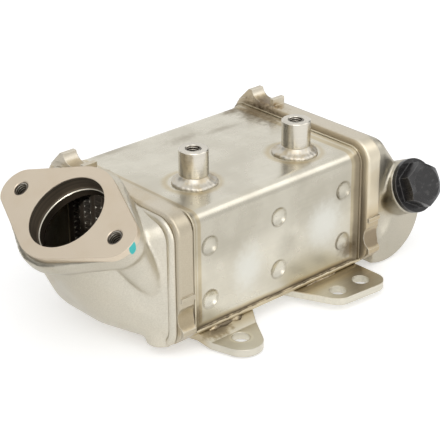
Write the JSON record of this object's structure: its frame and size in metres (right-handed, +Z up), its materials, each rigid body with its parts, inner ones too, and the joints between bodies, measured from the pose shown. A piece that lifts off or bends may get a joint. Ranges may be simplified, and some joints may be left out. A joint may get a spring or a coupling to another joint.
{
  "type": "exhaust gas recirculation cooler",
  "caption": "Brazed stainless gas cooler: a dimpled casing between tan collars, a cast inlet hood with a tilted two-bolt flange, an outlet bowl with a plugged stub, feet and threaded bosses.",
  "frame": {"origin": "centre of the gas inlet bore at the flange's machined face", "axes": "+X along the gas tubes from inlet to outlet, +Y from the foot side to the coolant pipe side, +Z up through the threaded bosses"},
  "size_m": [0.2207, 0.1404, 0.0875],
  "materials": {
    "stainless": "satin rolled stainless sheet",
    "brazed_collar": "brazed stainless with a straw heat tint",
    "cast_steel": "blasted stainless casting, flange face machined",
    "turned_steel": "bright turned steel",
    "plug": "glossy black moulding",
    "sooted_steel": "dull brazed sheet inside the core"
  },
  "bodies": {
    "root": {"casing_shell": "stainless", "casing_floor": "stainless", "inlet_header": "brazed_collar", "outlet_header": "brazed_collar", "inlet_tank": "cast_steel", "outlet_tank": "cast_steel", "transport_plug": "plug", "top_boss_left": "turned_steel", "top_boss_right": "turned_steel", "left_foot": "stainless", "right_foot": "stainless", "coolant_inlet_pipe": "turned_steel", "coolant_outlet_pipe": "turned_steel", "gas_tube_1": "sooted_steel", "gas_tube_2": "sooted_steel", "gas_tube_3": "sooted_steel", "gas_tube_4": "sooted_steel", "gas_tube_5": "sooted_steel", "gas_tube_6": "sooted_steel", "gas_tube_7": "sooted_steel", "gas_tube_8": "sooted_steel", "gas_tube_9": "sooted_steel", "gas_fin_1": "sooted_steel", "gas_fin_2": "sooted_steel", "gas_fin_3": "sooted_steel", "gas_fin_4": "sooted_steel", "gas_fin_5": "sooted_steel", "gas_fin_6": "sooted_steel", "gas_fin_7": "sooted_steel", "gas_fin_8": "sooted_steel", "gas_fin_9": "sooted_steel"}
  },
  "joints": []
}
